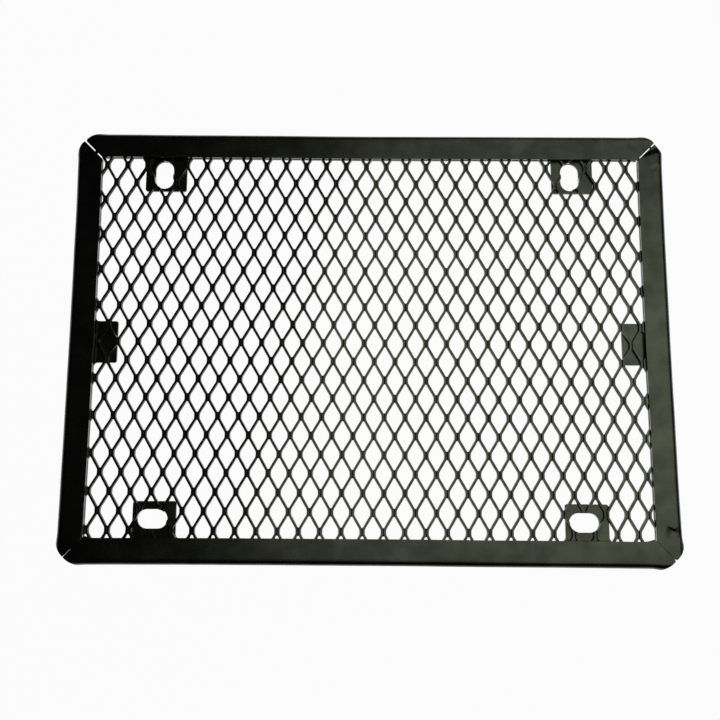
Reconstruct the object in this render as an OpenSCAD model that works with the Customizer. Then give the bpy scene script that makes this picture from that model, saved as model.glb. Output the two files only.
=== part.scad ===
// Radiator guard for a motorcycle: expanded metal edged by four folded rails.
// Lies on its back. X runs across, Y up the guard and Z from the back to the front.
// The origin is at the middle of the outline, on the back face.

/* [Guard] */
// Overall width, across the bends of the side rails
guard_w = 292.8; // [270:0.2:320]
// Overall height, across the bends of the top and bottom rails
guard_h = 212; // [190:0.2:240]

/* [Rails] */
// Thickness of the sheet that the rails are folded from
sheet_t = 1.2; // [0.8:0.1:1.4]
// Width of the front flange, from the outer bend
front_w = 12.8; // [11:0.1:15]
// Width of the back flange, from the outer bend
back_w = 12.4; // [11:0.1:15]
// Play between the mesh and the flange on each of its faces
mesh_play = 0.05; // [0.02:0.01:0.1]
// Reach of a front flange's pointed tip past its inner edge, bottom left corner
tip_bl = 0.9; // [0:0.1:2]
// The same at the bottom right corner
tip_br = 1.1; // [0:0.1:2]
// The same at the top right corner
tip_tr = 1.8; // [0:0.1:2]
// Length of flange over which a tip widens
tip_run = 5.5; // [3:0.1:8]

/* [Corners] */
// Length that each corner cut takes off a side
corner_leg = 10; // [8:0.1:11]
// Bulge of the corner cut's arc beyond its chord
corner_bulge = 2; // [1:0.1:2.5]
// Open slit between the rails at the two top corners
slit_top = 0.75; // [0.4:0.05:1.2]
// Open slit between the rails at the two bottom corners
slit_bottom = 0.3; // [0.2:0.05:1.2]

/* [Tabs] */
// Width of a mounting tab
tab_w = 20.5; // [18:0.1:24]
// Reach of a mounting tab, from the outer edge of its rail
tab_reach = 29.6; // [27:0.1:33]
// Radius in the corner between a tab and its rail
tab_fillet = 2; // [1:0.1:3]
// Radius on the free corners of a tab
tab_round = 1.2; // [0.5:0.1:3]
// Distance from the guard's left edge to the middle of the top left tab
tab_tl_in = 43.8; // [40.4:0.1:48.4]
// Distance from the guard's right edge to the middle of the top right tab
tab_tr_in = 45.6; // [40.4:0.1:49.4]
// Distance from the guard's left edge to the middle of the bottom left tab
tab_bl_in = 45.5; // [40.4:0.1:48.4]
// Distance from the guard's right edge to the middle of the bottom right tab
tab_br_in = 43.9; // [40.4:0.1:48.4]
// Reach of the plain tab on each side rail, from the rail's outer edge
side_tab_reach = 23.6; // [20:0.1:28]
// Place of the side tabs' middle, up the guard
side_tab_y = 0.3; // [-10:0.1:10]

/* [Slots] */
// Width of a mounting slot
slot_w = 9; // [7:0.1:10]
// Length of a mounting slot, end to end
slot_l = 14.4; // [12:0.1:15]
// Distance from the free end of a top tab to the middle of its upright slot
slot_top_end = 8.4; // [8.1:0.1:9.1]
// Distance from the free end of a bottom tab to the middle of its lying slot
slot_bottom_end = 8.7; // [6.6:0.1:10.6]
// Place of the top left slot's middle, left of its tab's middle
slot_tl_left = 1.2; // [-2:0.1:2]
// Place of the top right slot's middle, left of its tab's middle
slot_tr_left = 1.2; // [-2:0.1:2]
// Place of the bottom slots' middle, left of each tab's middle
slot_bottom_left = 0.5; // [-1.5:0.1:1.5]

/* [Mesh] */
// Thickness of the expanded metal
mesh_t = 1.5; // [1:0.1:2]
// Pitch of the diamonds across
pitch_x = 10; // [8:0.5:14]
// Pitch of the diamonds up the guard
pitch_y = 18; // [15:0.5:24]
// Width of one strand
strand_w = 1.3; // [0.9:0.05:1.8]
// Length of a bond, from one diamond's point to the next one's
bond_l = 3.2; // [2:0.1:4.5]
// Place of one diamond's middle, across
mesh_x = 2.55; // [-5:0.05:5]
// Place of the same diamond's middle, up the guard
mesh_y = -0.4; // [-9:0.05:9]
// Gap between the edge of the mesh and the start of the rails' bend
mesh_edge_gap = 3; // [2:0.1:4]

/* [Hidden] */
$fn = 48;
// Height of the space between the two flanges of a rail
hem_gap = mesh_t + 2 * mesh_play;
// Thickness of the whole guard, and the radius of its outer bends
guard_t = hem_gap + 2 * sheet_t;
bend_r = guard_t / 2;
// Overlap that lets cutting tools pass the faces they cut
past = 1;
// Arc of a corner cut
corner_r = (pow(corner_leg, 2) / 2 + pow(corner_bulge, 2)) / (2 * corner_bulge);
corner_c = corner_leg / 2 + (corner_r - corner_bulge) / sqrt(2);
// Depth that takes in a rail with its tabs
rail_depth = max(tab_reach, front_w + tip_tr) + past;
// Place of each mounting tab's middle, across
tab_tl_x = tab_tl_in - guard_w / 2;
tab_tr_x = guard_w / 2 - tab_tr_in;
tab_bl_x = tab_bl_in - guard_w / 2;
tab_br_x = guard_w / 2 - tab_br_in;
// Height of the tabs' free ends, up and down from the middle, and the middle of each slot
free_end = guard_h / 2 - tab_reach;
slot_tl = [tab_tl_x - slot_tl_left, free_end + slot_top_end];
slot_tr = [tab_tr_x - slot_tr_left, free_end + slot_top_end];
slot_bl = [tab_bl_x - slot_bottom_left, -free_end - slot_bottom_end];
slot_br = [tab_br_x - slot_bottom_left, -free_end - slot_bottom_end];

// Outlines of the four mounting slots: upright at the top, lying at the bottom.
module slots() {
    reach = (slot_l - slot_w) / 2;
    for (slot = [[slot_tl, 90], [slot_tr, 90], [slot_bl, 0], [slot_br, 0]])
        translate(slot[0])
            rotate(slot[1]) {
                for (side = [-1, 1])
                    translate([side * reach, 0])
                        circle(d = slot_w);
                square([2 * reach, slot_w], center = true);
            }
}

// The slots through the tabs, short of the front flanges.
module slot_cuts() {
    translate([0, 0, -past])
        linear_extrude(past + sheet_t + hem_gap / 2)
            slots();
}

// What a corner cut takes off, in the corner at the origin, open towards +X and +Y.
module corner_waste() {
    difference() {
        translate([-past, -past, -past])
            cube([corner_leg + past, corner_leg + past, guard_t + 2 * past]);
        translate([corner_c, corner_c, -2 * past])
            cylinder(h = guard_t + 4 * past, r = corner_r, $fn = 96);
    }
}

// Half tube of the outer bend, along X, with its outer edge at y = 0.
module outer_bend(length) {
    translate([-length / 2, bend_r, bend_r])
        rotate([90, 0, 90])
            difference() {
                cylinder(h = length, r = bend_r);
                translate([0, 0, -past])
                    cylinder(h = length + 2 * past, r = bend_r - sheet_t);
                translate([0, -2 * bend_r, -past])
                    cube([2 * bend_r, 4 * bend_r, length + 2 * past]);
            }
}

// Front flange, widening into a point at each end.
module front_flange(length, tip_start, tip_end) {
    half = length / 2;
    start_w = front_w + tip_start;
    end_w = front_w + tip_end;
    outline = [
        [-half, bend_r], [half, bend_r], [half, end_w], [half - end_w, end_w],
        [half - end_w - tip_run, front_w], [start_w + tip_run - half, front_w],
        [start_w - half, start_w], [-half, start_w]
    ];
    translate([0, 0, guard_t - sheet_t])
        linear_extrude(sheet_t)
            polygon(outline);
}

// A tab on the back flange, with its middle at x, and fillets where it leaves the flange.
module tab(x, reach) {
    root = back_w - past;
    free = reach - tab_round;
    translate([x, 0, 0]) {
        difference() {
            translate([-tab_w / 2 - tab_fillet, root, 0])
                cube([tab_w + 2 * tab_fillet, tab_fillet + past, sheet_t]);
            for (side = [-1, 1])
                translate([side * (tab_w / 2 + tab_fillet), back_w + tab_fillet, -past])
                    cylinder(h = sheet_t + 2 * past, r = tab_fillet);
        }
        translate([-tab_w / 2, root, 0])
            cube([tab_w, free - root, sheet_t]);
        translate([tab_round - tab_w / 2, root, 0])
            cube([tab_w - 2 * tab_round, reach - root, sheet_t]);
        for (side = [-1, 1])
            translate([side * (tab_w / 2 - tab_round), free, 0])
                cylinder(h = sheet_t, r = tab_round);
    }
}

// One folded rail, along X, with its outer edge at y = 0 and its tabs on the +Y side.
module rail(length, slit_start, slit_end, tip_start, tip_end, tabs, reach) {
    half = length / 2;
    start_x = slit_start / sqrt(2) - half;
    end_x = half - slit_end / sqrt(2);
    mitres = [
        [start_x, 0], [end_x, 0],
        [end_x - rail_depth, rail_depth], [start_x + rail_depth, rail_depth]
    ];
    difference() {
        intersection() {
            union() {
                outer_bend(length);
                front_flange(length, tip_start, tip_end);
                translate([-half, bend_r, 0])
                    cube([length, back_w - bend_r, sheet_t]);
                for (x = tabs)
                    tab(x, reach);
            }
            translate([0, 0, -past])
                linear_extrude(guard_t + 2 * past)
                    polygon(mitres);
        }
        translate([-half, 0, 0])
            corner_waste();
        translate([half, 0, 0])
            mirror([1, 0, 0])
                corner_waste();
    }
}

module bottom_rail() {
    color("#2b2d2a")
        difference() {
            translate([0, -guard_h / 2, 0])
                rail(guard_w, slit_bottom, slit_bottom, tip_bl, tip_br, [tab_bl_x, tab_br_x], tab_reach);
            slot_cuts();
        }
}

module top_rail() {
    color("#2b2d2a")
        difference() {
            translate([0, guard_h / 2, 0])
                rotate([0, 0, 180])
                    rail(guard_w, slit_top, slit_top, tip_tr, 0, [-tab_tl_x, -tab_tr_x], tab_reach);
            slot_cuts();
        }
}

module left_rail() {
    color("#232422")
        translate([-guard_w / 2, 0, 0])
            rotate([0, 0, 270])
                rail(guard_h, slit_top, slit_bottom, 0, 0, [-side_tab_y], side_tab_reach);
}

module right_rail() {
    color("#232422")
        translate([guard_w / 2, 0, 0])
            rotate([0, 0, 90])
                rail(guard_h, slit_bottom, slit_top, 0, 0, [side_tab_y], side_tab_reach);
}

// Outline of one diamond's opening: pointed at the bonds, blunt at the sides.
function diamond() =
    let (side = pitch_x / 2 - strand_w,
         point = (pitch_y - bond_l) / 2,
         blunt = bond_l / 2 - strand_w / 3)
    [[0, point], [-side, blunt], [-side, -blunt], [0, -point], [side, -blunt], [side, blunt]];

// Outline of the flattened expanded metal, cut to lie inside the four rails and clear of the slots.
module mesh_outline() {
    inset = bend_r + mesh_edge_gap;
    sheet_w = guard_w - 2 * inset;
    sheet_h = guard_h - 2 * inset;
    columns = ceil(sheet_w / pitch_x);
    rows = ceil(sheet_h / pitch_y);
    difference() {
        square([sheet_w, sheet_h], center = true);
        for (column = [-columns : columns], row = [-rows : rows])
            let (x = mesh_x + column * pitch_x / 2, y = mesh_y + row * pitch_y / 2)
                if ((column + row) % 2 == 0 && abs(x) < sheet_w / 2 && abs(y) < sheet_h / 2)
                    translate([x, y])
                        polygon(diamond());
        slots();
    }
}

module mesh_panel() {
    color("#1c1d1c")
        translate([0, 0, sheet_t + mesh_play])
            linear_extrude(mesh_t)
                mesh_outline();
}

mesh_panel();
top_rail();
bottom_rail();
left_rail();
right_rail();
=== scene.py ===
"""Radiator guard for a motorcycle: expanded metal edged by four folded rails, painted black."""

import math
from collections import namedtuple
import bmesh
import bpy
from mathutils import Matrix, Vector, noise


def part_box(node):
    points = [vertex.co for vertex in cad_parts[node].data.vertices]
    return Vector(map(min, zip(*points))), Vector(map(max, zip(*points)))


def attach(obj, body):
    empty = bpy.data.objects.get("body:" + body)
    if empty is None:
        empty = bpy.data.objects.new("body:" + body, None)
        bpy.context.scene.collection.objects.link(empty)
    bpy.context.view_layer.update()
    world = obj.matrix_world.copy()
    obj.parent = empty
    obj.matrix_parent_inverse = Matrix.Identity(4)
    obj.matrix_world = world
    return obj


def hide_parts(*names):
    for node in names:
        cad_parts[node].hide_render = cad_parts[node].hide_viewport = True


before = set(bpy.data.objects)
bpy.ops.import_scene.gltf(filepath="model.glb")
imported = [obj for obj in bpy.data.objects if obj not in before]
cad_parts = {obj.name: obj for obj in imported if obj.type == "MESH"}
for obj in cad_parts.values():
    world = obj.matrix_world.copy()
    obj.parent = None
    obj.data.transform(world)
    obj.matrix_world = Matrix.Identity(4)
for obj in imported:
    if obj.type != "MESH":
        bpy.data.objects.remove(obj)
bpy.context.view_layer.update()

MM = 0.001
DEG = math.pi / 180

# The guard as the frame has it
GUARD_W = 2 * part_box("right_rail")[1].x
GUARD_H = 2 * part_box("top_rail")[1].y
GUARD_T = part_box("top_rail")[1].z
MESH_LOW, MESH_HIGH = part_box("mesh_panel")

# The rails
SHEET_T = 1.2 * MM
FRONT_W = 12.4 * MM
BACK_W = 12.1 * MM
BEND_W = 2.4 * MM
CORNER_LEG = 10 * MM
CORNER_BULGE = 2 * MM
EDGE_ROUND = 0.16 * MM
BEVEL_ANGLE = 50 * DEG

# The slits between the rails: a negative width closes what the rails' bows open
SLIT_TOP_LEFT = -0.1 * MM
SLIT_TOP_RIGHT = 0.4 * MM
SLIT_BOTTOM_LEFT = 0.2 * MM
SLIT_BOTTOM_RIGHT = -0.6 * MM
TOP_LEFT_SHIFT = 0.95 * MM

# The rails' small faults: tips and ears at their ends, folds near the corners and an uneven front flange
TIP_RUN = 6 * MM
EAR_RUN = 2.6 * MM
EAR_DEPTH = 4 * MM
FOLD_FADE = 1.5 * MM
UNEVEN = 0.14 * MM
UNEVEN_ALONG = 21 * MM
UNEVEN_ACROSS = 14 * MM

# The tabs and their slots
TAB_W = 20.6 * MM
TAB_REACH = 29.4 * MM
SIDE_TAB_REACH = 23.3 * MM
TAB_FILLET = 2 * MM
TAB_ROUND = 1.2 * MM
SLOT_W = 9 * MM
SLOT_L = 14.2 * MM

# The expanded metal: its pitch, one bond's place, the turn and lean of the lattice, and a slow drift
PITCH = Vector((10, 18)) * MM
BOND_AT = Vector((-2.61, -0.34)) * MM
MESH_TURN = -0.21 * DEG
MESH_LEAN = 0.16 * DEG
DRIFT = Vector((0.16, 0.16, 0.04)) * MM
DRIFT_SIZE = 16 * MM
DRIFT_SHIFTS = Vector((0, 0, 0)), Vector((31.4, 5.2, 7.7)), Vector((11.3, 47.2, 13.1))
SHARP_ANGLE = 28 * DEG
SAME_POINT = 0.001 * MM
SAME_END = 0.01 * MM

# One strand's section: its sides lean in to a bevelled top, and its foot is softened
SIDE_SLANT = 0.22 * MM
TOP_EDGE = 0.30 * MM
TOP_EDGE_DROP = 0.10 * MM
FOOT_EDGE = 0.08 * MM
FOOT_EDGE_RISE = 0.07 * MM
GROOVE_TOP = 0.28 * MM
GROOVE_FOOT = 0.30 * MM

# The left strand of a bond, from the bond's middle up: height, outer side, inner side, joined to its twin
CROTCH = 1.93 * MM
BOND_STATIONS = (
    (0.7 * MM, -1.42 * MM, 0, True),
    (1.35 * MM, -1.52 * MM, 0, True),
    (CROTCH, -1.84 * MM, 0, False),
    (2.1 * MM, -1.93 * MM, -0.26 * MM, False),
    (PITCH.y / 4, -3.38 * MM, -1.62 * MM, False),
)


class Wire:
    """A socket in a node tree. Python's operators on it add Math nodes."""

    def __init__(self, tree, socket):
        self.tree = tree
        self.socket = socket

    def math(self, operation, first, second):
        return add_node(self.tree, "ShaderNodeMath", {"operation": operation}, {0: first, 1: second})

    def __add__(self, other):
        return self.math("ADD", self, other)

    def __radd__(self, other):
        return self.math("ADD", other, self)

    def __sub__(self, other):
        return self.math("SUBTRACT", self, other)

    def __rsub__(self, other):
        return self.math("SUBTRACT", other, self)

    def __mul__(self, other):
        return self.math("MULTIPLY", self, other)

    def __rmul__(self, other):
        return self.math("MULTIPLY", other, self)


def add_node(tree, kind, settings=None, sockets=None, output=0):
    """Adds a node with its settings, then its sockets' values or links, and gives one output as a Wire."""
    node = tree.nodes.new(kind)
    for name, value in (settings or {}).items():
        setattr(node, name, value)
    for key, value in (sockets or {}).items():
        if isinstance(value, Wire):
            tree.links.new(value.socket, node.inputs[key])
        else:
            node.inputs[key].default_value = value
    return Wire(tree, node.outputs[output]) if len(node.outputs) else node


def new_material(name):
    """A new material with an empty node tree."""
    material = bpy.data.materials.new(name)
    material.use_nodes = True
    material.node_tree.nodes.clear()
    return material, material.node_tree


# Camera

LENS = 42.96
SENSOR_W = 36
CAMERA_AT = Vector((-3.92, -74.28, 413.24)) * MM
CAMERA_TURN = 9.092 * DEG, 0.051 * DEG, 0.316 * DEG


def add_camera():
    """Looks down on the guard from over its lower half, as the photograph does."""
    data = bpy.data.cameras.new("camera")
    data.lens = LENS
    data.sensor_width = SENSOR_W
    camera = bpy.data.objects.new("camera", data)
    camera.location = CAMERA_AT
    camera.rotation_euler = CAMERA_TURN
    bpy.context.scene.collection.objects.link(camera)
    bpy.context.scene.camera = camera


# Materials

PAINT_IOR = 1.36
MOTTLE_RANGE = 0.36, 0.64
DULLEST_COAT = 0.5
GLOSS_SPREAD = 0.16
SAG_FINENESS = 0.4
SAG_HEIGHT = 0.09 * MM
PEEL_HEIGHT = 0.012 * MM
FLOOR_WHITE = 0.96
RAIL_SHADES = (0.0006, 0.0007, 0.0009, 1), (0.0016, 0.0019, 0.0015, 1)
MESH_SHADES = (0.005, 0.006, 0.0065, 1), (0.009, 0.010, 0.010, 1)


def black_paint(name, shades, gloss, roughness, mottle_size, grain_size):
    """Black satin paint: a soft mottle in its gloss, slow sags and a fine orange peel."""
    material, tree = new_material(name)
    place = add_node(tree, "ShaderNodeTexCoord", output="Object")
    mottle = add_node(tree, "ShaderNodeTexNoise", {}, {
        "Vector": place, "Scale": 1 / mottle_size, "Detail": 3.0, "Roughness": 0.55})
    grain = add_node(tree, "ShaderNodeTexNoise", {}, {
        "Vector": place, "Scale": 1 / grain_size, "Detail": 2.0, "Roughness": 0.5})
    sag = add_node(tree, "ShaderNodeTexNoise", {}, {
        "Vector": place, "Scale": SAG_FINENESS / mottle_size, "Detail": 1.0})
    faint, full = MOTTLE_RANGE
    cloud = add_node(tree, "ShaderNodeMapRange", {}, {
        "Value": mottle, "From Min": faint, "From Max": full, "To Min": DULLEST_COAT, "To Max": 1.0})
    shade = add_node(tree, "ShaderNodeMix", {"data_type": "RGBA"}, {
        "Factor": mottle, "A": shades[0], "B": shades[1]}, "Result")
    wave = add_node(tree, "ShaderNodeBump", {}, {
        "Strength": 1.0, "Distance": SAG_HEIGHT, "Height": sag})
    peel = add_node(tree, "ShaderNodeBump", {}, {
        "Strength": 1.0, "Distance": PEEL_HEIGHT, "Height": grain, "Normal": wave})
    surface = add_node(tree, "ShaderNodeBsdfPrincipled", {}, {
        "Base Color": shade, "Roughness": mottle * GLOSS_SPREAD + (roughness - GLOSS_SPREAD / 2),
        "Normal": peel, "IOR": PAINT_IOR,
        "Coat Weight": cloud, "Coat Roughness": roughness, "Coat IOR": gloss})
    add_node(tree, "ShaderNodeOutputMaterial", {}, {"Surface": surface})
    return material


def white_floor():
    """A white floor, which keeps its white where it is seen directly, in a reflection or through glass."""
    material, tree = new_material("white_floor")
    path = tree.nodes.new("ShaderNodeLightPath")
    seen = Wire(tree, path.outputs["Is Camera Ray"])
    mirrored = Wire(tree, path.outputs["Is Glossy Ray"])
    through = Wire(tree, path.outputs["Is Transmission Ray"])
    lit = add_node(tree, "ShaderNodeBsdfDiffuse", {}, {"Color": (0.9, 0.9, 0.9, 1)})
    white = add_node(tree, "ShaderNodeEmission", {}, {"Color": (1, 1, 1, 1), "Strength": 1.0})
    surface = add_node(tree, "ShaderNodeMixShader", {}, {
        0: (seen + mirrored + through) * FLOOR_WHITE, 1: lit, 2: white})
    add_node(tree, "ShaderNodeOutputMaterial", {}, {"Surface": surface})
    return material


# Expanded metal


def strand_ring(y, outer, inner, joined):
    """Eight points round the left strand's section at height y, with a groove where it joins its twin."""
    half_t = (MESH_HIGH.z - MESH_LOW.z) / 2
    side_z = half_t - TOP_EDGE_DROP
    foot_z = half_t - FOOT_EDGE_RISE
    inner_x = inner - SIDE_SLANT if inner else inner
    inner_z, inner_foot = side_z, foot_z
    if joined:
        inner_z, inner_foot = half_t - GROOVE_TOP, half_t - GROOVE_FOOT
    return [Vector(point) for point in (
        (outer, y, -foot_z), (outer + SIDE_SLANT, y, side_z),
        (outer + TOP_EDGE, y, half_t), (inner - TOP_EDGE, y, half_t),
        (inner_x, y, inner_z), (inner, y, -inner_foot),
        (inner - FOOT_EDGE, y, -half_t), (outer + FOOT_EDGE, y, -half_t))]


def bond_mesh():
    """One bond with its four half strands: two zigzag strands side by side, joined over the bond."""
    lower = [(-y, outer, inner, joined) for y, outer, inner, joined in reversed(BOND_STATIONS)]
    stations = lower + list(BOND_STATIONS)
    inner_wall = 4
    bm = bmesh.new()
    for side in (1, -1):
        rings = []
        for station in stations:
            rings.append([bm.verts.new((side * p.x, p.y, p.z)) for p in strand_ring(*station)])
        for index in range(len(rings) - 1):
            below, above = rings[index], rings[index + 1]
            inside_bond = abs(stations[index][0]) <= CROTCH and abs(stations[index + 1][0]) <= CROTCH
            for k in range(len(below)):
                if k == inner_wall and inside_bond:
                    continue
                after = (k + 1) % len(below)
                bm.faces.new((below[k], below[after], above[after], above[k]))
    bmesh.ops.remove_doubles(bm, verts=bm.verts, dist=SAME_POINT)
    bmesh.ops.recalc_face_normals(bm, faces=bm.faces)
    mesh = bpy.data.meshes.new("bond")
    bm.to_mesh(mesh)
    bm.free()
    return mesh


def lattice_tree():
    """Sets one bond on every place of the diamond lattice and joins the half strands that meet."""
    tree = bpy.data.node_groups.new("diamond_lattice", "GeometryNodeTree")
    face = tree.interface
    face.new_socket(name="Geometry", in_out="INPUT", socket_type="NodeSocketGeometry")
    for name in ("Columns", "Rows"):
        face.new_socket(name=name, in_out="INPUT", socket_type="NodeSocketInt")
    for name in ("Pitch X", "Pitch Y"):
        face.new_socket(name=name, in_out="INPUT", socket_type="NodeSocketFloat")
    face.new_socket(name="Paint", in_out="INPUT", socket_type="NodeSocketMaterial")
    face.new_socket(name="Geometry", in_out="OUTPUT", socket_type="NodeSocketGeometry")
    source = tree.nodes.new("NodeGroupInput")
    value = {socket.name: Wire(tree, socket) for socket in source.outputs if socket.name}

    def grid(columns, rows):
        return add_node(tree, "GeometryNodeMeshGrid", {}, {
            "Size X": (columns - 1) * value["Pitch X"], "Size Y": (rows - 1) * value["Pitch Y"],
            "Vertices X": columns, "Vertices Y": rows}, "Mesh")

    points = tree.nodes.new("GeometryNodeJoinGeometry")
    for more in (0, 1):
        layer = grid(value["Columns"] + more, value["Rows"] + more)
        tree.links.new(layer.socket, points.inputs[0])
    placed = add_node(tree, "GeometryNodeInstanceOnPoints", {}, {
        "Points": Wire(tree, points.outputs[0]), "Instance": value["Geometry"]})
    real = add_node(tree, "GeometryNodeRealizeInstances", {}, {"Geometry": placed})
    whole = add_node(tree, "GeometryNodeMergeByDistance", {}, {"Geometry": real, "Distance": SAME_END})
    painted = add_node(tree, "GeometryNodeSetMaterial", {}, {"Geometry": whole, "Material": value["Paint"]})
    result = tree.nodes.new("NodeGroupOutput")
    tree.links.new(painted.socket, result.inputs[0])
    return tree


def run_tree(obj, tree, values):
    """Runs a geometry tree on an object and keeps the result as its plain mesh."""
    modifier = obj.modifiers.new("make", "NODES")
    modifier.node_group = tree
    for item in tree.interface.items_tree:
        if item.in_out == "INPUT" and item.name in values:
            modifier[item.identifier] = values[item.name]
    keep_result(obj)


def keep_result(obj):
    """Turns what an object's modifiers show into its plain mesh and removes them."""
    bpy.context.view_layer.update()
    seen = obj.evaluated_get(bpy.context.evaluated_depsgraph_get())
    mesh = bpy.data.meshes.new_from_object(seen)
    obj.modifiers.clear()
    obj.data = mesh


def new_object(name, mesh):
    """An object of the scene that holds the mesh, at the origin."""
    obj = bpy.data.objects.new(name, mesh)
    bpy.context.scene.collection.objects.link(obj)
    return obj


def trim_sheet(bm):
    """Cuts the lattice to the sheet's four edges and closes the cut strands."""
    for axis in (0, 1):
        for bound, sign in ((MESH_LOW, -1), (MESH_HIGH, 1)):
            place, normal = Vector((0, 0, 0)), Vector((0, 0, 0))
            place[axis] = bound[axis]
            normal[axis] = sign
            parts = bm.verts[:] + bm.edges[:] + bm.faces[:]
            cut = bmesh.ops.bisect_plane(bm, geom=parts, plane_co=place, plane_no=normal, clear_outer=True)
            rim = [e for e in cut["geom_cut"] if isinstance(e, bmesh.types.BMEdge)]
            bmesh.ops.edgenet_fill(bm, edges=rim)


def expanded_metal(paint):
    """The flattened expanded metal, from the lattice of bonds to the sheet that is cut to the rails."""
    sheet = new_object("expanded_metal", bond_mesh())
    columns = 2 * math.ceil(MESH_HIGH.x / PITCH.x) - 1
    rows = 2 * math.ceil(MESH_HIGH.y / PITCH.y) + 1
    run_tree(sheet, lattice_tree(), {
        "Columns": columns, "Rows": rows, "Pitch X": PITCH.x, "Pitch Y": PITCH.y, "Paint": paint})
    lean = Matrix(((1, math.tan(MESH_LEAN), 0, 0), (0, 1, 0, 0), (0, 0, 1, 0), (0, 0, 0, 1)))
    middle = Matrix.Translation((BOND_AT.x, BOND_AT.y, (MESH_LOW.z + MESH_HIGH.z) / 2))
    sheet.data.transform(middle @ Matrix.Rotation(MESH_TURN, 4, "Z") @ lean)
    bm = bmesh.new()
    bm.from_mesh(sheet.data)
    for vert in bm.verts:
        place = vert.co / DRIFT_SIZE
        vert.co += Vector([noise.noise(place + shift) for shift in DRIFT_SHIFTS]) * DRIFT
    trim_sheet(bm)
    bm.to_mesh(sheet.data)
    bm.free()
    cut_slots(sheet)
    sheet.data.shade_smooth()
    sheet.data.set_sharp_from_angle(angle=SHARP_ANGLE)
    sheet.data.materials.clear()
    sheet.data.materials.append(paint)
    sheet.data.polygons.foreach_set("material_index", [0] * len(sheet.data.polygons))
    return sheet


# Slots

# The middle and the turn of each: upper left, upper right, lower left, lower right
SLOTS = (
    (Vector((-103.3, 85.1)) * MM, 90 * DEG),
    (Vector((100.0, 85.1)) * MM, 90 * DEG),
    (Vector((-102.2, -84.9)) * MM, 0.0),
    (Vector((101.45, -85.3)) * MM, 0.0),
)


def slot_outline(place, turn, steps=14):
    """Points round a slot, counter-clockwise."""
    reach = (SLOT_L - SLOT_W) / 2
    points = []
    for side, start in ((1, -90), (-1, 90)):
        for k in range(steps + 1):
            angle = (start + 180 * k / steps) * DEG
            point = Vector((side * reach + SLOT_W / 2 * math.cos(angle), SLOT_W / 2 * math.sin(angle)))
            point.rotate(Matrix.Rotation(turn, 2))
            points.append(place + point)
    return points


def cut_slots(sheet):
    """Cuts the four slots through the expanded metal."""
    bm = bmesh.new()
    for place, turn in SLOTS:
        low, high = [], []
        for point in slot_outline(place, turn):
            low.append(bm.verts.new((point.x, point.y, -MM)))
            high.append(bm.verts.new((point.x, point.y, GUARD_T + MM)))
        for k in range(len(low)):
            after = (k + 1) % len(low)
            bm.faces.new((low[k], low[after], high[after], high[k]))
        bm.faces.new(low)
        bm.faces.new(high)
    bmesh.ops.recalc_face_normals(bm, faces=bm.faces)
    mesh = bpy.data.meshes.new("slot_cutter")
    bm.to_mesh(mesh)
    bm.free()
    cutter = new_object("slot_cutter", mesh)
    cut = sheet.modifiers.new("slots", "BOOLEAN")
    cut.operation = "DIFFERENCE"
    cut.solver = "EXACT"
    cut.object = cutter
    keep_result(sheet)
    bpy.data.objects.remove(cutter)


# Rails

# A fold in a front flange: the middle of its line, the angle of the way it goes down, its slope and run,
# the length over which it comes up again, and half the line's length
Fold = namedtuple("Fold", "u v way slope run recovery half_length")


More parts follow.
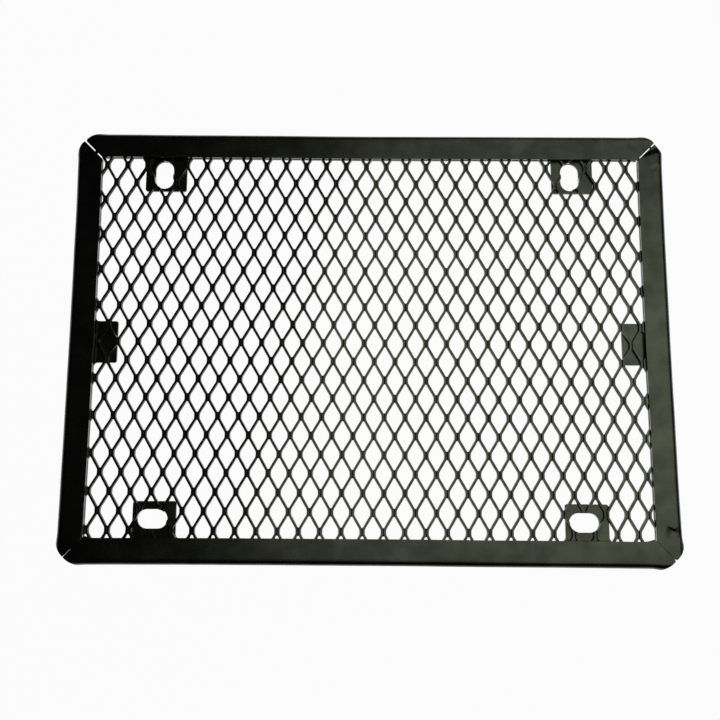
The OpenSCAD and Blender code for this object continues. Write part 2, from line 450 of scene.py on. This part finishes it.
class Rail:
    """One folded rail in its own frame: u along it, v inwards from its outer edge, z up."""

    def __init__(self, name, length, turn, slits, tips, bows, ears, tabs, reach, folds=()):
        self.name = name
        self.length = length
        self.turn = turn
        self.slits = slits
        self.tips = tips
        self.bows = bows
        self.ears = ears
        self.tabs = tabs
        self.reach = reach
        self.folds = folds

    def limit(self, v, slit):
        """Distance from the virtual corner at which the rail starts, at depth v: corner cut or mitre."""
        radius = (CORNER_LEG ** 2 / 2 + CORNER_BULGE ** 2) / (2 * CORNER_BULGE)
        centre = CORNER_LEG / 2 + (radius - CORNER_BULGE) / math.sqrt(2)
        mitre = v + slit / math.sqrt(2)
        if v >= CORNER_LEG:
            return mitre
        return max(mitre, centre - math.sqrt(radius ** 2 - (centre - v) ** 2))

    def along(self, share, v):
        """Place along the rail of a share of its length at depth v."""
        start = self.limit(v, self.slits[0]) - self.length / 2
        end = self.length / 2 - self.limit(v, self.slits[1])
        return start + share * (end - start)

    def front_width(self, u):
        """Width of the front flange, which flares into a tip at each end."""
        width = FRONT_W
        for side, tip in ((-1, self.tips[0]), (1, self.tips[1])):
            ending = self.length / 2 - FRONT_W - side * u
            flare = max(0.0, 1 - max(0.0, ending) / TIP_RUN)
            width += tip * flare ** 2
        return width

    def outwards(self, u, v):
        """How far the rail stands out at u: its slow bow, and the ears at the ends of its bend."""
        count = len(self.bows) - 1
        place = min(max((u / self.length + 0.5) * count, 0.0), count - 1e-6)
        index = int(place)
        share = place - index
        share = share * share * (3 - 2 * share)
        bow = self.bows[index] * (1 - share) + self.bows[index + 1] * share
        for side, ear in ((-1, self.ears[0]), (1, self.ears[1])):
            ending = max(0.0, self.length / 2 - CORNER_LEG - side * u)
            bow += ear * math.exp(-((ending / EAR_RUN) ** 2)) * max(0.0, 1 - v / EAR_DEPTH)
        return bow

    def pressed(self, u, v):
        """How deep the front flange is pressed in by the folds near its corners."""
        depth = 0.0
        for fold in self.folds:
            cosine, sine = math.cos(fold.way), math.sin(fold.way)
            beyond = (u - fold.u) * cosine + (v - fold.v) * sine
            aside = abs((v - fold.v) * cosine - (u - fold.u) * sine)
            fade = min(max(1 - (aside - fold.half_length) / FOLD_FADE, 0.0), 1.0)
            fade *= min(max(1 - (beyond - fold.run) / fold.recovery, 0.0), 1.0)
            depth += fold.slope * min(max(beyond, 0.0), fold.run) * fade
        return depth

    def place(self, u, v, z):
        """A point of the rail in the guard's frame, with its bow, its folds and its uneven flange."""
        out = self.outwards(u, v)
        lift = 0.0
        if z > GUARD_T / 2:
            lift = UNEVEN * noise.noise(Vector((u / UNEVEN_ALONG, v / UNEVEN_ACROSS, self.turn)))
            lift -= self.pressed(u, v) * min(1.0, (z - GUARD_T / 2) / (GUARD_T / 2 - SHEET_T))
        point = Vector((u, v - out - self.across() / 2, z + lift))
        return Matrix.Rotation(self.turn, 3, "Z") @ point

    def across(self):
        """The guard's size across this rail, from its outer edge to the opposite rail's."""
        return GUARD_H if self.length == GUARD_W else GUARD_W


def rail_columns(rail):
    """Shares of the rail's length for its columns: close near its corners, and one at each root of a tab."""
    shares = set()
    corner_columns, corner_share, middle_columns, root_room = 36, 0.09, 56, 0.004
    for k in range(corner_columns + 1):
        share = corner_share * k / corner_columns
        shares.update((share, 1 - share))
    middle_share = 1 - 2 * corner_share
    shares.update(corner_share + middle_share * k / middle_columns for k in range(middle_columns + 1))
    start, end = rail.along(0, BACK_W), rail.along(1, BACK_W)
    roots = []
    for middle, _ in rail.tabs:
        for side in (-1, 1):
            root = middle + side * (TAB_W / 2 + TAB_FILLET)
            roots.append((root - start) / (end - start))
    shares = [s for s in shares if all(abs(s - root) > root_room for root in roots)]
    return sorted(shares + roots)


def rail_profile():
    """Rows of the folded section, from front flange to back flange: a point outside and one inside."""
    rows = []
    flange_rows, bend_rows = 10, 10
    for k in range(flange_rows):
        share = k / flange_rows
        v = FRONT_W + (BEND_W - FRONT_W) * share
        rows.append(((v, GUARD_T), (v, GUARD_T - SHEET_T)))
    radius = GUARD_T / 2
    for k in range(bend_rows + 1):
        angle = math.pi * k / bend_rows
        across, up = math.sin(angle), math.cos(angle)
        inner = radius - SHEET_T
        rows.append(((BEND_W * (1 - across), radius + radius * up),
                     (BEND_W - (BEND_W - SHEET_T) * across, radius + inner * up)))
    rows.append(((BACK_W, 0), (BACK_W, SHEET_T)))
    return rows


def tab_loop(middle, reach):
    """Points round a tab from its left root to its right root, in the rail's frame."""
    points = []
    steps = 6
    for side in (-1, 1):
        half = []
        for k in range(steps + 1):
            angle = 90 * DEG * k / steps
            half.append((TAB_W / 2 + TAB_FILLET - TAB_FILLET * math.sin(angle),
                         BACK_W + TAB_FILLET - TAB_FILLET * math.cos(angle)))
        for k in range(steps + 1):
            angle = 90 * DEG * k / steps
            half.append((TAB_W / 2 - TAB_ROUND + TAB_ROUND * math.cos(angle),
                         reach - TAB_ROUND + TAB_ROUND * math.sin(angle)))
        half = [(middle + side * x, v) for x, v in half]
        points += half if side == -1 else half[::-1]
    return points


def rail_mesh(rail):
    """The folded sheet as one closed skin: the section swept along the rail, with its tabs grown from it."""
    shares = rail_columns(rail)
    profile = rail_profile()
    bm = bmesh.new()

    def station(share, v, z, front):
        """A point of the section. The front flange's depth and its place along settle in a few rounds."""
        u = rail.along(share, v)
        if front:
            for _ in range(4):
                wide = BEND_W + (v - BEND_W) / (FRONT_W - BEND_W) * (rail.front_width(u) - BEND_W)
                u = rail.along(share, wide)
            v = wide
        return rail.place(u, v, z)

    outer, inner = [], []
    for (v_out, z_out), (v_in, z_in) in profile:
        front = v_out > BEND_W and z_out > GUARD_T / 2
        outer.append([bm.verts.new(station(s, v_out, z_out, front)) for s in shares])
        inner.append([bm.verts.new(station(s, v_in, z_in, front)) for s in shares])
    last_row, last_column = len(profile) - 1, len(shares) - 1
    start, end = rail.along(0, BACK_W), rail.along(1, BACK_W)
    column_u = [start + s * (end - start) for s in shares]
    for row in range(last_row):
        for column in range(last_column):
            for skin in (outer, inner):
                bm.faces.new((skin[row][column], skin[row][column + 1],
                              skin[row + 1][column + 1], skin[row + 1][column]))
        for column in (0, last_column):
            bm.faces.new((outer[row][column], outer[row + 1][column],
                          inner[row + 1][column], inner[row][column]))

    tab_half = TAB_W / 2 + TAB_FILLET

    def in_tab(u):
        return any(abs(u - middle) < tab_half for middle, _ in rail.tabs)

    for column in range(last_column):
        pairs = [(0, column, column + 1)]
        if not in_tab((column_u[column] + column_u[column + 1]) / 2):
            pairs.append((last_row, column, column + 1))
        for row, a, b in pairs:
            bm.faces.new((outer[row][a], outer[row][b], inner[row][b], inner[row][a]))
    for middle, slot in rail.tabs:
        columns = [c for c, u in enumerate(column_u) if abs(u - middle) < tab_half + 0.01 * MM]
        add_tab(bm, rail, middle, slot, columns, outer[last_row], inner[last_row])
    bmesh.ops.recalc_face_normals(bm, faces=bm.faces)
    mesh = bpy.data.meshes.new(rail.name)
    bm.to_mesh(mesh)
    bm.free()
    return mesh


def add_tab(bm, rail, middle, slot, columns, outer_edge, inner_edge):
    """A tab that grows from the back flange's edge, with its slot."""
    loop = tab_loop(middle, rail.reach)[1:-1]
    hole = []
    if slot is not None:
        back = Matrix.Rotation(-rail.turn, 3, "Z")
        for point in slot_outline(*slot):
            local = back @ point.to_3d()
            hole.append((local.x, local.y + rail.across() / 2))
    layers = []
    for z, edge in ((0, outer_edge), (SHEET_T, inner_edge)):
        root = [edge[c] for c in columns]
        rim = [bm.verts.new(rail.place(u, v, z)) for u, v in loop]
        ring = [bm.verts.new(rail.place(u, v, z)) for u, v in hole]
        border = root[::-1] + rim
        edges = close_loop(bm, border) + close_loop(bm, ring)
        bmesh.ops.triangle_fill(bm, edges=edges, use_beauty=True)
        layers.append((root[:1] + rim + root[-1:], ring))
    (rim_low, ring_low), (rim_high, ring_high) = layers
    for k in range(len(rim_low) - 1):
        bm.faces.new((rim_low[k], rim_low[k + 1], rim_high[k + 1], rim_high[k]))
    for k in range(len(ring_low)):
        after = (k + 1) % len(ring_low)
        bm.faces.new((ring_low[k], ring_low[after], ring_high[after], ring_high[k]))


def close_loop(bm, verts):
    """Edges round a loop of points."""
    edges = []
    for k in range(len(verts)):
        pair = (verts[k], verts[(k + 1) % len(verts)])
        edges.append(bm.edges.get(pair) or bm.edges.new(pair))
    return edges


def folded_rail(rail, paint):
    """A rail with softened edges."""
    obj = new_object(rail.name, rail_mesh(rail))
    obj.data.materials.append(paint)
    obj.data.shade_smooth()
    soften = obj.modifiers.new("soften", "BEVEL")
    soften.width = EDGE_ROUND
    soften.segments = 2
    soften.limit_method = "ANGLE"
    soften.angle_limit = BEVEL_ANGLE
    even = obj.modifiers.new("even", "WEIGHTED_NORMAL")
    even.mode = "FACE_AREA"
    keep_result(obj)
    return obj


def mm(*sizes):
    """Sizes in millimetres as a tuple in metres."""
    return tuple(size * MM for size in sizes)


def rails():
    """The four rails. Pairs and bows run from the start of a rail's u to its end."""
    upper_left, upper_right, lower_left, lower_right = SLOTS
    # A metre to come up again, so the pressed-in corner stays down
    stays_down = 1.0
    bottom = Rail(
        "bottom_strip", GUARD_W, 0.0, slits=(SLIT_BOTTOM_LEFT, SLIT_BOTTOM_RIGHT),
        tips=mm(1.3, 1.5), bows=mm(0, -0.22, -0.13, 0.15, 0.45), ears=mm(0.2, 0.5),
        tabs=[(-101.4 * MM, lower_left), (102.9 * MM, lower_right)], reach=TAB_REACH)
    right = Rail(
        "right_strip", GUARD_H, 90 * DEG, slits=(SLIT_BOTTOM_RIGHT, SLIT_TOP_RIGHT),
        tips=mm(0, 0), bows=mm(0.5, 0.07, -0.25, -0.21, 0.1), ears=mm(0.6, 0.2),
        tabs=[(0.0, None)], reach=SIDE_TAB_REACH,
        folds=(
            Fold(96.0 * MM, 5.6 * MM, 17 * DEG, 0.4, 3.0 * MM, stays_down, 50 * MM),
            Fold(-88.3 * MM, 3.2 * MM, 162 * DEG, 0.6, 0.9 * MM, 6.0 * MM, 2.4 * MM),
            Fold(88.1 * MM, 3.5 * MM, 24 * DEG, 0.5, 0.7 * MM, 2.0 * MM, 1.6 * MM)))
    top = Rail(
        "top_strip", GUARD_W, 180 * DEG, slits=(SLIT_TOP_RIGHT, SLIT_TOP_LEFT - TOP_LEFT_SHIFT),
        tips=mm(2.2, 0.3), bows=mm(0, -0.04, -0.19, 0.1, 0.35), ears=mm(0.2, 0.2),
        tabs=[(-101.2 * MM, upper_right), (102.4 * MM, upper_left)], reach=TAB_REACH,
        folds=(
            Fold(-130.9 * MM, 3.0 * MM, 141 * DEG, 0.5, 0.7 * MM, 2.5 * MM, 1.8 * MM),
            Fold(-133.6 * MM, 3.4 * MM, 152 * DEG, 0.4, 0.7 * MM, 2.0 * MM, 1.6 * MM)))
    left = Rail(
        "left_strip", GUARD_H, 270 * DEG, slits=(SLIT_TOP_LEFT + TOP_LEFT_SHIFT, SLIT_BOTTOM_LEFT),
        tips=mm(0.3, 0), bows=mm(0.7, 0.08, -0.2, -0.13, -0.03), ears=mm(0.2, 0.3),
        tabs=[(0.0, None)], reach=SIDE_TAB_REACH)
    return bottom, right, top, left


# Studio

FLOOR_HALF = 4.0
DARK_ROOM = 0.006, 0.007, 0.008, 1
PALE_HORIZON = 0.85, 0.87, 0.9, 1
HORIZON_HEIGHTS = 0.14, 0.22


def add_floor():
    """The white floor that the guard lies on."""
    bm = bmesh.new()
    bmesh.ops.create_grid(bm, x_segments=1, y_segments=1, size=FLOOR_HALF)
    mesh = bpy.data.meshes.new("floor")
    bm.to_mesh(mesh)
    bm.free()
    mesh.materials.append(white_floor())
    new_object("floor", mesh)


def add_room():
    """A room that is dark above and pale round the horizon."""
    world = bpy.data.worlds.new("room")
    bpy.context.scene.world = world
    world.use_nodes = True
    tree = world.node_tree
    tree.nodes.clear()
    place = add_node(tree, "ShaderNodeTexCoord", output="Generated")
    height = add_node(tree, "ShaderNodeSeparateXYZ", {}, {0: place}, "Z")
    low, high = HORIZON_HEIGHTS
    band = add_node(tree, "ShaderNodeMapRange", {"interpolation_type": "SMOOTHSTEP"}, {
        "Value": height, "From Min": low, "From Max": high, "To Min": 1.0, "To Max": 0.0})
    shade = add_node(tree, "ShaderNodeMix", {"data_type": "RGBA"}, {
        "Factor": band, "A": DARK_ROOM, "B": PALE_HORIZON}, "Result")
    back = add_node(tree, "ShaderNodeBackground", {}, {"Color": shade, "Strength": 1.0})
    add_node(tree, "ShaderNodeOutputWorld", {}, {"Surface": back})


def add_lamp(name, place, turn, size, radiance, colour):
    """A soft box that faces down, turned about Z, with the radiance of its face."""
    data = bpy.data.lights.new(name, "AREA")
    data.shape = "RECTANGLE"
    data.size, data.size_y = size
    data.energy = radiance * math.pi * size[0] * size[1]
    data.color = colour
    lamp = bpy.data.objects.new(name, data)
    lamp.location = place
    lamp.rotation_euler = (0, 0, turn)
    bpy.context.scene.collection.objects.link(lamp)


def add_lamps():
    """Three soft boxes over the right side, one above the other."""
    add_lamp("wide_box", place=(0.40, 0.40, 1.06), turn=-15 * DEG, size=(0.86, 1.46),
             radiance=0.70, colour=(0.91, 1.0, 0.70))
    add_lamp("near_box", place=(0.52, 0.06, 1.0), turn=0, size=(1.16, 0.66),
             radiance=0.28, colour=(0.91, 1.0, 0.68))
    add_lamp("right_box", place=(0.70, -0.02, 0.94), turn=0, size=(0.62, 0.62),
             radiance=0.36, colour=(0.91, 1.0, 0.70))


def main():
    """Sets the scene and replaces each of the guard's nodes with its finished piece."""
    bpy.context.scene.view_settings.view_transform = "Standard"
    add_camera()
    add_floor()
    add_room()
    add_lamps()
    rail_paint = black_paint(
        "rail_paint", RAIL_SHADES, gloss=1.62, roughness=0.26, mottle_size=11 * MM, grain_size=0.9 * MM)
    mesh_paint = black_paint(
        "mesh_paint", MESH_SHADES, gloss=1.56, roughness=0.12, mottle_size=4 * MM, grain_size=0.6 * MM)
    sheet = expanded_metal(mesh_paint)
    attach(sheet, "root")
    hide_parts("mesh_panel")
    for rail in rails():
        strip = folded_rail(rail, rail_paint)
        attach(strip, "root")
        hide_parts(rail.name.replace("strip", "rail"))


main()
